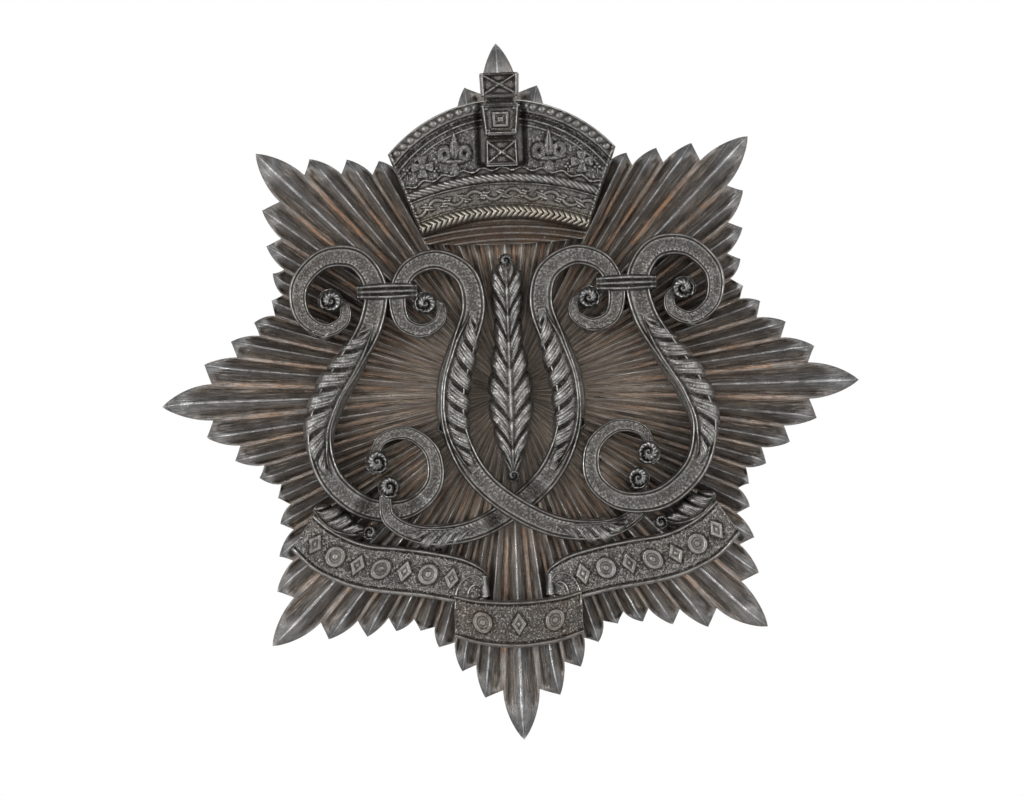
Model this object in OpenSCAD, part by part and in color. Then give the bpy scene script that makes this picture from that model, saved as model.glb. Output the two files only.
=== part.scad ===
// Star-shaped cap badge with crown, scrollwork and a three-panel ribbon.
// Face toward -Y, back toward +Y, crown up +Z, back seat plane at y = 0.

/* [Star plate] */
// Radius of the eight long points, mm
star_radius = 30; // [28:0.5:33]
// Height of the ray crests above the back seat plane, mm
crest_height = 2.6; // [2.3:0.1:3.2]
// Depth of the grooves where two rays part at the rim, mm
groove_depth = 1.3; // [0.9:0.1:1.6]
// How far the notches between ray tips are cut in, mm
notch_depth = 0.75; // [0.6:0.05:1.3]
// Radius of the hollow in the back, mm
hollow_radius = 18; // [17.8:0.1:18.6]
// Depth of the hollow in the back, mm
hollow_depth = 1.0; // [0.8:0.05:1.1]

/* [Mounts on the face] */
// Thickness of the scroll straps, mm
strap_depth = 1.8; // [1.4:0.1:2.4]
// Thickness of the crown at its middle, mm
crown_depth = 2.0; // [1.8:0.1:2.4]
// Thickness of the ribbon panels, mm
ribbon_depth = 1.0; // [0.8:0.1:1.4]

/* [Fixings] */
// Radius of the small studs, mm
stud_radius = 0.7; // [0.5:0.05:0.75]
// Clearance round each stud, mm
stud_clearance = 0.05; // [0.03:0.01:0.08]
// Distance between the two lugs, mm
lug_spacing = 22; // [20:0.5:23]
// Radius of the lug shanks, mm
lug_radius = 1.6; // [1.4:0.05:1.8]
// Length of lug shank behind the seat plane, mm
lug_reach = 4.4; // [4.2:0.1:6]
// Radius of the split pin, mm
pin_radius = 0.65; // [0.5:0.05:0.7]
// Clearance between split pin and lug eye, mm
pin_clearance = 0.07; // [0.04:0.01:0.1]
// Length of the split pin from its eye to its tip, mm
pin_length = 28; // [27:0.5:34]

/* [Hidden] */
$fn = 48;
silver = [0.46, 0.47, 0.49];
dull_silver = [0.40, 0.40, 0.42];
brass = [0.72, 0.58, 0.30];

// ---- star plate -------------------------------------------------------
points = 8;
rays_per_point = 8;
ray_count = points * rays_per_point;
sector = 360 / points;
// Angle of each ray inside one sector, measured from the long point
ray_offset = [0, 6.6, 12, 17.3, 22.5, 27.7, 33, 38.4];
groove_offset = [3.5, 9.2, 14.6, 19.9, 25.1, 30.4, 35.8, 41.5];
// Length of each ray in a sector as a share of the long point
ray_share = [1, 0.882, 0.815, 0.762, 0.734, 0.762, 0.815, 0.882];
flat_crest_ratio = 0.62;
tip_height = 0.8;
// How far a tip has narrowed halfway from its notch to its point, on either side
long_side_taper = 0.36;
short_side_taper = 0.48;

function ray_angle(i) = 90 + floor(i / rays_per_point) * sector + ray_offset[i % rays_per_point];
function groove_angle(i) = 90 + floor(i / rays_per_point) * sector + groove_offset[i % rays_per_point];
function tip_radius(i) = star_radius * ray_share[i % rays_per_point];
function groove_radius(i) = min(tip_radius(i), tip_radius((i + 1) % ray_count)) - notch_depth;
function polar(r, a, y) = [r * cos(a), y, r * sin(a)];
function mix(a, b, t) = a * (1 - t) + b * t;

groove_height = crest_height - groove_depth;
shoulder_height = groove_height * 0.8;
// Points of one ray, in order: groove, crest start, crest end, tip, two shoulders (front, then back)
POINTS_PER_RAY = 11;
function before(i) = (i + ray_count - 1) % ray_count;
function wrap_angle(a, near) = a - 360 * round((a - near) / 360);
// Side of a tip: it bulges where it drops to a shorter ray, and is nearly straight beside a longer one
function drops_far(i, j) = tip_radius(i) - groove_radius(j) > notch_depth + 0.2;
function side_taper(i, j) = drops_far(i, j) ? long_side_taper : short_side_taper;
function shoulder_point(i, j, y) =
  let (ra = ray_angle(i), ga = wrap_angle(groove_angle(j), ra),
    r = mix(groove_radius(j), tip_radius(i), 0.5))
  polar(r, mix(ga, ra, side_taper(i, j)), y);
function ray_points(i) = [
  polar(groove_radius(i), groove_angle(i), -groove_height),
  polar(groove_radius(i), groove_angle(i), 0),
  polar(star_radius * flat_crest_ratio, ray_angle(i), -crest_height),
  polar(tip_radius(i) - 2.2 - (i % rays_per_point == 0 ? 1.8 : 0), ray_angle(i), -crest_height + 0.3),
  polar(tip_radius(i) - 0.35, ray_angle(i), -mix(crest_height, tip_height, 0.6)),
  polar(tip_radius(i), ray_angle(i), -tip_height),
  polar(tip_radius(i), ray_angle(i), 0),
  shoulder_point(i, before(i), -shoulder_height),
  shoulder_point(i, before(i), 0),
  shoulder_point(i, i, -shoulder_height),
  shoulder_point(i, i, 0)];
FRONT_CENTRE = ray_count * POINTS_PER_RAY;
BACK_CENTRE = FRONT_CENTRE + 1;
function ray_faces(i) =
  let (n = i * POINTS_PER_RAY, m = before(i) * POINTS_PER_RAY,
    gr = m, gr0 = m + 1, gl = n, gl0 = n + 1, k1 = n + 2, k2 = n + 3, k3 = n + 4, t = n + 5, t0 = n + 6,
    sr = n + 7, sr0 = n + 8, sl = n + 9, sl0 = n + 10)
  [[FRONT_CENTRE, gr, k1], [FRONT_CENTRE, k1, gl],
    [k1, gr, k2], [k1, k2, gl],
    [k2, gr, sr], [k2, sr, k3], [k3, sr, t],
    [gl, k2, sl], [sl, k2, k3], [sl, k3, t],
    [gr, gr0, sr], [sr, gr0, sr0], [sr, sr0, t], [t, sr0, t0],
    [t, t0, sl0], [t, sl0, sl], [sl, sl0, gl0], [sl, gl0, gl],
    [BACK_CENTRE, sr0, gr0], [BACK_CENTRE, t0, sr0], [BACK_CENTRE, sl0, t0], [BACK_CENTRE, gl0, sl0]];

module star_blank() {
  polyhedron(
    points = concat([for (i = [0:ray_count - 1]) for (p = ray_points(i)) p],
      [[0, -crest_height, 0], [0, 0, 0]]),
    faces = [for (i = [0:ray_count - 1]) for (f = ray_faces(i)) f],
    convexity = 10);
}

module star_plate() color(dull_silver) difference() {
  star_blank();
  along_y(-hollow_depth, 1) circle(r = hollow_radius);
  for (p = all_studs)
    along_y(-crest_height - 1, 1) translate(p) circle(r = stud_radius + stud_clearance);
}

// ---- helpers ------------------------------------------------------------
// Extrude a drawing in the X-Z plane from y = y0 to y = y1
module along_y(y0, y1) translate([0, y1, 0]) rotate([90, 0, 0]) linear_extrude(y1 - y0) children();
module mirrored(on) mirror([on ? 1 : 0, 0, 0]) children();

function spline_point(a, b, c, d, t) =
  0.5 * (2 * b + (c - a) * t + (2 * a - 5 * b + 4 * c - d) * t * t + (3 * b - a - 3 * c + d) * t * t * t);
// Smooth curve through [x, z, width] stations
function spline(p, n) = [
  for (i = [0:len(p) - 2])
    let (b = p[i], c = p[i + 1],
      a = i == 0 ? 2 * b - c : p[i - 1],
      d = i == len(p) - 2 ? 2 * c - b : p[i + 2])
    for (k = [0:n - 1]) spline_point(a, b, c, d, k / n),
  p[len(p) - 1]];
// One edge of a strap, side s = 1 or -1, widened by g
function strap_edge(q, s, g) = [
  for (i = [0:len(q) - 1])
    let (u = q[min(i + 1, len(q) - 1)], v = q[max(i - 1, 0)], dx = u[0] - v[0], dz = u[1] - v[1],
      l = norm([dx, dz]), h = s * (q[i][2] / 2 + g))
    [q[i][0] - h * dz / l, q[i][1] + h * dx / l]];
function reversed(v) = [for (i = [len(v) - 1:-1:0]) v[i]];
function strap_outline(p, g = 0) =
  let (q = spline(p, 4))
  concat(strap_edge(q, 1, g), reversed(strap_edge(q, -1, g)));
function part_of(p, a, b) = [for (i = [a:b]) p[i]];
function reshaped(p, a, w) = [for (i = [0:len(w) - 1]) [p[a + i][0], p[a + i][1], w[i]]];

seat = -crest_height;
strap_face = seat - strap_depth;
half_lap = seat - strap_depth / 2;
lap_gap = 0.03;
leaf_face = strap_face - 0.45;
ball_radius = 0.95;

// ---- scrollwork -------------------------------------------------------------
// Stations of the left-hand straps: x, z and width
outer_path = [[-15.2, 8.3, 0.8], [-14.0, 7.9, 0.9], [-14.1, 6.5, 1.1], [-15.8, 5.8, 1.2], [-17.6, 7.2, 1.4],
  [-17.7, 9.8, 1.6], [-15.6, 11.9, 1.8], [-12.8, 11.8, 2.0], [-11.25, 9.4, 2.1], [-11.75, 6.2, 2.2],
  [-13.6, 3.0, 2.2], [-15.5, 0.0, 2.2], [-16.5, -3.4, 2.2], [-15.6, -7.0, 2.1], [-12.7, -9.5, 2.0],
  [-9.2, -9.7, 1.8], [-6.9, -7.8, 1.6], [-6.9, -5.0, 1.4], [-8.8, -3.3, 1.2], [-11.0, -3.6, 1.0],
  [-12.0, -5.2, 0.8]];
inner_path = [[-7.1, 8.0, 0.7], [-5.85, 7.7, 0.8], [-5.8, 6.35, 1.0], [-7.35, 5.5, 1.2], [-9.0, 6.3, 1.4],
  [-9.35, 8.6, 1.6], [-8.2, 10.8, 1.7], [-5.8, 11.5, 1.8], [-3.5, 10.1, 2.0], [-2.9, 7.3, 2.1],
  [-3.9, 4.0, 2.2], [-4.9, 0.4, 2.2], [-4.8, -3.4, 2.2], [-3.1, -7.1, 2.1], [0.0, -9.9, 2.0],
  [3.9, -11.8, 1.9], [8.0, -12.0, 1.6], [10.7, -10.6, 1.3], [11.1, -8.5, 1.0]];
outer_balls = [[-15.1, 8.4], [-11.6, -5.7]];
inner_balls = [[-7.1, 7.8], [10.6, -7.8]];
outer_leaf = reshaped(outer_path, 9, [0.9, 2.7, 2.9, 2.5, 0.9]);
inner_leaf = reshaped(inner_path, 9, [0.9, 2.6, 2.8, 2.5, 0.9]);
plume_path = [[0, -7.4, 0.8], [0, -5.6, 1.8], [0, -3, 2.8], [0, 0, 3.6], [0, 3, 3.3], [0, 6, 2.4],
  [0, 8.2, 2.2], [0, 10.0, 2.8], [0, 11.7, 0.8]];
plume_vein = [[0, -6.6, 0.3], [0, -2, 0.7], [0, 4, 0.7], [0, 10.6, 0.3]];

module strap(path, balls, leaf) {
  along_y(strap_face, seat) polygon(strap_outline(path));
  along_y(leaf_face, half_lap) polygon(strap_outline(leaf));
  for (b = balls) translate([b[0], 0, b[1]]) terminal();
}
// Round end of a scroll with a bevelled top
module terminal() {
  along_y(strap_face - 0.1, seat) circle(r = ball_radius);
  translate([0, strap_face - 0.1, 0]) rotate([90, 0, 0])
    cylinder(r1 = ball_radius, r2 = ball_radius / 2, h = 0.4);
}
module outer_strap() strap(outer_path, outer_balls, outer_leaf);
module inner_strap() strap(inner_path, inner_balls, inner_leaf);
// Room cut behind or in front of the half-lap plane for a crossing strap
module lap_behind(path) along_y(half_lap, seat + 1) polygon(strap_outline(path, lap_gap));
module lap_before(path) along_y(leaf_face - 1, half_lap) polygon(strap_outline(path, lap_gap));

module outer_scroll_left() color(silver) difference() {
  outer_strap();
  mirrored(true) lap_before(part_of(inner_path, 15, 18));
}
module outer_scroll_right() color(silver) difference() {
  mirrored(true) outer_strap();
  lap_behind(part_of(inner_path, 15, 18));
}
module inner_scroll_left() color(silver) difference() {
  inner_strap();
  mirrored(true) lap_behind(part_of(inner_path, 12, 16));
  mirrored(true) lap_before(part_of(outer_path, 13, 16));
}
module inner_scroll_right() color(silver) difference() {
  mirrored(true) inner_strap();
  lap_before(part_of(inner_path, 12, 16));
  lap_behind(part_of(outer_path, 13, 16));
}

// Clips that tie each outer scroll to the inner one beside it
collar_height = 1.5;
collar_bottom = 8.2;
collar_width = 4.55;
collar_middle = -10.375;
collar_wall = 0.45;
module collar() difference() {
  translate([collar_middle - collar_width / 2, strap_face - collar_wall, collar_bottom])
    cube([collar_width, strap_depth + collar_wall, collar_height]);
  along_y(strap_face, seat + 1) polygon(strap_outline(outer_path));
  along_y(strap_face, seat + 1) polygon(strap_outline(inner_path));
}
module scroll_collars() color(silver) {
  collar();
  mirrored(true) collar();
}

module centre_plume() color(silver) {
  along_y(strap_face, seat) polygon(strap_outline(plume_path));
  along_y(leaf_face, strap_face) polygon(strap_outline(plume_vein));
}

// ---- crown ------------------------------------------------------------------
crown_round = 34;
crown_face = seat - crown_depth;
arch_seat = crown_face + 0.1;
arch_face = crown_face - 1.2;
arch_outline = [[-1.45, 19.3], [1.45, 19.3], [1.4, 21.6], [1.25, 21.8], [1.45, 22.0], [1.75, 24.5],
  [1.2, 24.8], [1.2, 25.1], [1.7, 25.3], [1.7, 27.3], [-1.7, 27.3], [-1.7, 25.3], [-1.2, 25.1], [-1.2, 24.8],
  [-1.75, 24.5], [-1.45, 22.0], [-1.25, 21.8], [-1.4, 21.6]];
module crown_shape() intersection() {
  polygon([[-6.7, 12.6], [6.7, 12.6], [7.1, 13.5], [9.8, 20.7], [12, 26.5],
    [-12, 26.5], [-9.8, 20.7], [-7.1, 13.5]]);
  translate([0, 12]) circle(r = 13.1);
}
// Everything nearer the back than a shallow barrel, grown by g
module crown_barrel(g) translate([0, crown_face + crown_round, 0]) cylinder(r = crown_round + g, h = 40);
// Part of the crown between two arcs of one family
module crown_band(inside, outside) intersection() {
  crown_shape();
  translate([0, -5.1]) difference() {
    circle(r = outside);
    circle(r = inside);
  }
}
module crown_rim() difference() {
  crown_shape();
  translate([0, 12]) circle(r = 12.2);
}
module raised(g) intersection() {
  along_y(crown_face - 2, seat - 0.3) children();
  crown_barrel(g);
}
bead_count = 15;
module crown() color(silver) difference() {
  union() {
    raised_base() crown_shape();
    raised(0.35) crown_band(20.0, 21.05);
    raised(0.18) crown_band(21.3, 22.9);
    raised(0.35) crown_band(23.1, 23.8);
    raised(0.25) crown_rim();
    for (i = [0:bead_count - 1])
      let (a = 90 + (i - (bead_count - 1) / 2) * 5.6)
        if (abs(a - 90) > 9)
          translate([12.65 * cos(a), bead_y(12.65 * cos(a)), 12 + 12.65 * sin(a)]) sphere(r = 0.36);
    for (x = [-7.0, -4.1, 4.1, 7.0]) bud(x);
  }
  translate([-1.8, arch_seat - 3, 19.1]) cube([3.6, 3, 8.5]);
}
module raised_base() intersection() {
  along_y(crown_face - 1, seat) children();
  crown_barrel(0);
}
function barrel_y(x) = crown_face + crown_round - sqrt(crown_round * crown_round - x * x);
function bead_y(x) = barrel_y(x) - 0.25;
module bud(x) raised(0.3) {
  translate([x, 20.9]) circle(r = 0.5);
  translate([x - 0.7, 20.2]) circle(r = 0.45);
  translate([x + 0.7, 20.2]) circle(r = 0.45);
  translate([x - 0.2, 18.6]) square([0.4, 2]);
}
module crown_front_arch() color(silver) union() {
  along_y(arch_face, arch_seat) polygon(arch_outline);
  for (z = [20.5, 23.3, 26.3])
    along_y(arch_face - 0.25, arch_face) translate([0, z]) rotate(45) square(1.5, center = true);
}

// ---- ribbon and leaf sprays -----------------------------------------------------
ribbon_face = seat - ribbon_depth;
panel_face = ribbon_face - ribbon_depth;
wing_outline = [[2.5, -17.4], [2.5, -15.7], [3.1, -14.9], [4.6, -14.05], [7.2, -13.4], [9.9, -12.95],
  [12.4, -12.65], [14.3, -12.0], [16.0, -11.0], [17.2, -9.9], [19.3, -12.9], [17.2, -14.9], [14.6, -16.3],
  [11.2, -16.9], [8.2, -17.3], [5.6, -17.8], [4.0, -18.2]];
panel_outline = [[-5.4, -17.3], [-3.2, -17.7], [0, -17.9], [3.2, -17.7], [5.4, -17.3], [5.5, -20.9],
  [3.0, -21.7], [0, -22.0], [-3.0, -21.7], [-5.5, -20.9]];
fold_outline = [[2.9, -18.4], [5.2, -18.4], [5.2, -20.6], [3.4, -21.0]];
roll_path = [[4.85, -18.4, 1.4], [4.8, -17.2, 1.3], [4.35, -16.35, 1.15], [3.6, -16.05, 0.95],
  [3.05, -16.45, 0.6]];
roll_face = ribbon_face - 0.8;
wing_line = [[5.2, -15.9], [7.2, -15.3], [9.4, -14.95], [11.6, -14.75], [13.7, -14.2], [15.6, -13.35],
  [17.3, -12.3]];
panel_line = [[-3.0, -19.5], [0, -19.85], [3.0, -19.5]];
leaf_outline = [[17.3, -9.3], [16.2, -10.6], [14.5, -11.75], [12.8, -12.35], [12.3, -12.0], [12.4, -11.3],
  [13.6, -10.95], [15.2, -9.9], [16.4, -8.7]];
module pellets(line, y, s) for (p = line) along_y(y - 0.3, y) translate(p) rotate(45) square(s, center = true);
module wing() {
  along_y(ribbon_face, seat) polygon(wing_outline);
  pellets(wing_line, ribbon_face, 1.1);
}
module leaf_spray() {
  along_y(ribbon_face - 0.1, seat) polygon(leaf_outline);
  along_y(ribbon_face - 0.1, seat) translate([12.5, -11.6]) circle(r = 0.6);
}
module ribbon_left() color(silver) mirrored(true) wing();
module ribbon_right() color(silver) wing();
// Ribbon turned over at a corner of the centre panel: the support behind and the rolled end above
module fold() {
  along_y(ribbon_face, seat) polygon(fold_outline);
  along_y(roll_face, ribbon_face) polygon(strap_outline(roll_path));
}
module ribbon_centre() color(silver) {
  along_y(panel_face, ribbon_face) polygon(panel_outline);
  fold();
  mirrored(true) fold();
  pellets(panel_line, panel_face, 1.2);
}
module leaf_spray_left() color(silver) mirrored(true) leaf_spray();
module leaf_spray_right() color(silver) leaf_spray();

// ---- studs, washers and nuts ---------------------------------------------------
function both(p) = [p, [-p[0], p[1]]];
crown_stud_at = both([4.6, 15.2]);
ribbon_stud_at = both([5.3, -15.4]);
scroll_stud_at = concat(both([-11.75, 6.2]), both([-9.2, -9.7]), both([-3.9, 4.0]), both([3.9, -11.8]),
  [[0, 1]]);
all_studs = concat(crown_stud_at, scroll_stud_at, ribbon_stud_at);
washer_thickness = 0.2;
washer_radius = 1.5;
nut_flats = 2.6;
stud_end = -0.1;
module studs(places) color(brass)
  for (p = places) along_y(seat, stud_end) translate(p) circle(r = stud_radius);
module crown_studs() studs(crown_stud_at);
module scroll_studs() studs(scroll_stud_at);
module ribbon_studs() studs(ribbon_stud_at);
module stud_washers() color(brass)
  for (p = all_studs) along_y(-hollow_depth, washer_thickness - hollow_depth) translate(p) difference() {
    circle(r = washer_radius);
    circle(r = stud_radius + stud_clearance);
  }
module stud_nuts() color(brass)
  for (p = all_studs) along_y(washer_thickness - hollow_depth, 0) translate(p) difference() {
    circle(r = nut_flats / sqrt(3), $fn = 6);
    circle(r = stud_radius + 0.03);
  }

// ---- lugs and split pin -----------------------------------------------------------
lug_pad_radius = 2.0;
lug_pad_thickness = 0.6;
eye_radius = lug_radius - 0.15;
eye_flat = 0.95;
eye_length = 3.8;
eye_middle = lug_reach + 1.9;
module lug() difference() {
  union() {
    along_y(-hollow_depth, lug_pad_thickness - hollow_depth) circle(r = lug_pad_radius);
    along_y(lug_pad_thickness - hollow_depth, lug_reach) circle(r = lug_radius);
    intersection() {
      along_y(lug_reach, lug_reach + eye_length) circle(r = eye_radius);
      translate([-eye_flat, lug_reach, -3]) cube([2 * eye_flat, eye_length, 6]);
    }
  }
  translate([-5, eye_middle, 0]) rotate([0, 90, 0]) cylinder(r = pin_radius + pin_clearance, h = 10);
}
module lug_left() color(dull_silver) translate([-lug_spacing / 2, 0, 0]) lug();
module lug_right() color(dull_silver) translate([lug_spacing / 2, 0, 0]) lug();

pin_start = -lug_spacing / 2 - 2.6;
loop_radius = 1.5;
slit_width = 0.14;
slit_start = 1.2;
module cotter_pin() color(brass) translate([pin_start, eye_middle, 0]) {
  difference() {
    union() {
      rotate([0, 90, 0]) cylinder(r = pin_radius, h = pin_length);
      translate([pin_length, 0, 0]) sphere(r = pin_radius);
    }
    translate([slit_start, -2, -slit_width / 2]) cube([pin_length + 3, 4, slit_width]);
  }
  translate([-loop_radius, 0, 0]) rotate([90, 0, 0])
    rotate_extrude() translate([loop_radius, 0]) circle(r = 0.5);
}

star_plate();
crown();
crown_front_arch();
outer_scroll_left();
outer_scroll_right();
inner_scroll_left();
inner_scroll_right();
scroll_collars();
centre_plume();
ribbon_left();
ribbon_right();
ribbon_centre();
leaf_spray_left();
leaf_spray_right();
crown_studs();
scroll_studs();
ribbon_studs();
stud_washers();
stud_nuts();
lug_left();
lug_right();
cotter_pin();
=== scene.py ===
import math
from types import SimpleNamespace

import bmesh
import bpy
import numpy as np
from mathutils import Matrix, Vector


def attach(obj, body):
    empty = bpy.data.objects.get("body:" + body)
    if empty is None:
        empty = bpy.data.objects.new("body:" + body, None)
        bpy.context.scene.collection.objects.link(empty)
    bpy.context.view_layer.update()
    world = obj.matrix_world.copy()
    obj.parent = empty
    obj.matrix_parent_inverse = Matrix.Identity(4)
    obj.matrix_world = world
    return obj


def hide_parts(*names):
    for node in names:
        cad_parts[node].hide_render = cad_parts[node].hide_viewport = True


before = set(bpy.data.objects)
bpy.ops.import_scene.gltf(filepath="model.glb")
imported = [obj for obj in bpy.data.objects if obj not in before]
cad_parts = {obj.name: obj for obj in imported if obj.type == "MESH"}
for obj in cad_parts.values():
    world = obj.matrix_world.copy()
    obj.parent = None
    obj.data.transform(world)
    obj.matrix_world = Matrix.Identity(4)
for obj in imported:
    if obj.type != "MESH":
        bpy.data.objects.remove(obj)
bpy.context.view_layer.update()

# Shapes are drawn in mm in the CAD's frame: X to the right, Y towards the back, Z up. The star's centre is
# at X = Z = 0 and its flat back at Y = 0, so a point at height h in front of the back has Y = -h.
MM = 0.001
TAU = 2 * math.pi
SEAT = 2.6      # height of the ray crests, on which the castings sit
STRAP = 1.8     # thickness of the scroll straps
STAR_R = 30     # reach of the long points
HOLLOW_R = 18   # hollow in the star's back
HOLLOW_D = 1    # its depth


# ---- small maths
def smooth(a, b, x):
    """0 up to a, 1 from b on, with a soft step between; b may be the smaller one."""
    t = np.clip((np.asarray(x, float) - a) / (b - a), 0, 1)
    return t * t * (3 - 2 * t)


def bump(x, c, w):
    """A soft ridge of height 1 at c."""
    return np.exp(-(((np.asarray(x, float) - c) / w) ** 2))


def row(a, b, n):
    return np.linspace(a, b, n)[None, :]


def column(a, b, n):
    return np.linspace(a, b, n)[:, None]


def dome(d2, height):
    """Half an ellipse over d2, the squared distance from its middle."""
    return height * np.sqrt(np.clip(1 - d2, 0, 1))


def surface(x, h, z):
    """Points at a height h in front of the star's back."""
    return np.stack(np.broadcast_arrays(x, -h, z), -1)


def spline(ctrl, n=24):
    """Catmull-Rom curve through the points, n steps to each stretch."""
    P = [np.array(p, float) for p in ctrl]
    out = []
    for i in range(len(P) - 1):
        b, c = P[i], P[i + 1]
        a = P[i - 1] if i else 2 * b - c
        d = P[i + 2] if i + 2 < len(P) else 2 * c - b
        for k in range(n):
            t = k / n
            out.append(0.5 * (2 * b + (c - a) * t + (2 * a - 5 * b + 4 * c - d) * t * t
                              + (3 * b - a - 3 * c + d) * t ** 3))
    out.append(P[-1])
    return np.array(out)


def lengths(q):
    """Lengths along a curve up to each of its points."""
    return np.r_[0, np.cumsum(np.linalg.norm(np.diff(q[:, :2], axis=0), axis=1))]


def path(ctrl, step, first=0, last=None):
    """x, z, width, station, length and unit normal along a strap's centre line."""
    q = spline(ctrl)
    k = np.linspace(0, len(ctrl) - 1, len(q))
    last = len(ctrl) - 1 if last is None else last
    s = lengths(q)
    s0, s1 = np.interp([first, last], k, s)
    n = max(4, int((s1 - s0) / step))
    t = np.linspace(s0, s1, n + 1)
    x, z, w = (np.interp(t, s, q[:, j]) for j in range(3))
    station = np.interp(t, s, k)
    dx, dz = np.gradient(x), np.gradient(z)
    for d in (dx, dz) * 3:
        d[1:-1] = (d[:-2] + d[1:-1] * 2 + d[2:]) / 4
    size = np.hypot(dx, dz)
    return SimpleNamespace(x=x, z=z, w=w, k=station, s=t - s0, nx=-dz / size, nz=dx / size, n=n + 1,
                           length=s1 - s0)


def even_curve(points, n):
    """n evenly spaced points on a curve through the given ones, and its length."""
    q = spline([(a, b, 0) for a, b in points])
    s = lengths(q)
    t = np.linspace(0, s[-1], n)
    return np.stack([np.interp(t, s, q[:, 0]), np.interp(t, s, q[:, 1])], -1), s[-1]


# ---- mesh building
def quads(idx):
    """Faces between neighbours in a grid of vertex numbers."""
    corners = (idx[:-1, :-1], idx[1:, :-1], idx[1:, 1:], idx[:-1, 1:])
    return np.stack(corners, -1).reshape(-1, 4).tolist()


def put_in_scene(name, data):
    ob = bpy.data.objects.new(name, data)
    bpy.context.scene.collection.objects.link(ob)
    return ob


class Part:
    """Gathers closed shells in mm and turns them into one piece.

    Each vertex also has five values for its material: tone (brown film), grit (stippled ground), rib (worn
    copper; on the crown's lower cable a painted warm highlight), ridge (rubbed line, on that cable partly a
    painted highlight) and gap (painted shade in the star's grooves, over its upper half, on its outer walls
    and on the crown's top edge; a plain darkening on the crown's underside and the centre ribbon panel)."""

    EXTRA = ("tone", "grit", "rib", "ridge", "gap")

    def __init__(self, name, seed):
        self.name = name
        self.verts = []
        self.faces = []
        self.count = 0
        self.extra = {k: [] for k in self.EXTRA}
        self.rng = np.random.default_rng(seed)

    def add(self, verts, faces, shape=(), **extra):
        """The extra values are spread over the first points, which form a grid of this shape."""
        self.verts.append(verts)
        self.faces += [[i + self.count for i in f] for f in faces]
        self.count += len(verts)
        for k in self.EXTRA:
            values = np.zeros(len(verts))
            if k in extra:
                given = np.broadcast_to(extra[k], shape).ravel()
                values[:given.size] = given
            self.extra[k].append(values)

    def grid(self, P, close_v=False, cap=False, **extra):
        """A sheet of n by m points, closed round its second direction and capped at both ends if asked."""
        n, m = P.shape[:2]
        idx = np.arange(n * m).reshape(n, m)
        if close_v:
            idx = np.hstack([idx, idx[:, :1]])
        faces = quads(idx)
        if cap:
            faces += [idx[0, :m].tolist(), idx[-1, :m][::-1].tolist()]
        self.add(P.reshape(-1, 3), faces, (n, m), **extra)

    def strip(self, P, base, **extra):
        """A sweep: rows of front points, closed by side walls and a flat back at y = -base per row."""
        n, m = P.shape[:2]
        base = np.broadcast_to(base, (n,))
        back = np.stack([P[:, 0], P[:, -1]], 1).copy()
        back[:, :, 1] = -base[:, None]
        top = np.arange(n * m).reshape(n, m)
        low = n * m + np.arange(2 * n).reshape(n, 2)
        faces = quads(top) + quads(np.stack([top[:, 0], low[:, 0]]))
        faces += np.stack([top[1:, -1], low[1:, 1], low[:-1, 1], top[:-1, -1]], -1).tolist()
        faces += quads(low.T)
        faces.append(top[0].tolist() + [low[0, 1], low[0, 0]])
        faces.append(top[-1][::-1].tolist() + [low[-1, 0], low[-1, 1]])
        self.add(np.vstack([P.reshape(-1, 3), back.reshape(-1, 3)]), faces, (n, m), **extra)

    def lathe(self, rings, at=(0, 0), seg=32, wobble=0):
        """A closed turned shape about the Y direction: rings of (radius, y)."""
        a = np.linspace(0, TAU, seg, endpoint=False)
        P = np.zeros((len(rings), seg, 3))
        for i, (r, y) in enumerate(rings):
            rr = r * (1 + wobble * np.sin(3 * a + i))
            P[i] = surface(at[0] + rr * np.cos(a), -y, at[1] + rr * np.sin(a))
        self.grid(P, close_v=True, cap=True)

    def curl(self, x, z, r, turn=0, hand=1, top=1.75):
        """A rolled leaf end: a snail-like boss with a raised spiral and fine ribs."""
        turns, ribs = 1.55, 13
        th = np.linspace(0, TAU, 72, endpoint=False)[None, :]
        q = column(0.03, 1, 30)
        spin = np.mod((hand * th + turn) / TAU, 1)
        out = r * (0.86 + 0.2 * spin) * (1 + 0.02 * np.sin(9 * th))
        s = np.mod(turns * q ** 0.8 + spin, 1)
        ridge = np.sin(math.pi * s) ** 0.75
        h = top - 0.3 + 0.42 * ridge * smooth(0, 0.25, q) + 0.28 * smooth(0.35, 0, q)
        h = h + 0.045 * np.sin(ribs * th + 7 * q) * smooth(0.3, 0.7, q) - 0.55 * smooth(0.8, 1, q)
        h = h + self.rng.normal(0, 0.008, h.shape)
        P = surface(x + q * out * np.cos(th), SEAT + h, z + q * out * np.sin(th))
        wall = P[-1:].copy()
        wall[:, :, 1] = -SEAT
        self.grid(np.vstack([P, wall]), close_v=True, cap=True)

    def mirror(self):
        for v in self.verts:
            v[:, 0] *= -1

    def make(self, mat, slot, nodes=(), body="badge", sharp=38, weld=0, edge_gain=1):
        """The finished piece, riding on its body and standing for its CAD nodes."""
        me = bpy.data.meshes.new(self.name)
        me.from_pydata((np.vstack(self.verts) * MM).tolist(), [], self.faces)
        for k in self.EXTRA:
            values = np.concatenate(self.extra[k]).astype(np.float32)
            me.attributes.new(k, "FLOAT", "POINT").data.foreach_set("value", values)
        bm = bmesh.new()
        bm.from_mesh(me)
        if weld:
            bmesh.ops.remove_doubles(bm, verts=bm.verts, dist=weld * MM)
        bmesh.ops.recalc_face_normals(bm, faces=bm.faces)
        bm.to_mesh(me)
        bm.free()
        me.polygons.foreach_set("use_smooth", [True] * len(me.polygons))
        me.set_sharp_from_angle(angle=math.radians(sharp))
        add_wear(me, edge_gain)
        me.materials.append(mat)
        ob = put_in_scene(self.name, me)
        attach(ob, body)
        if nodes:
            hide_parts(*nodes)


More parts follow.
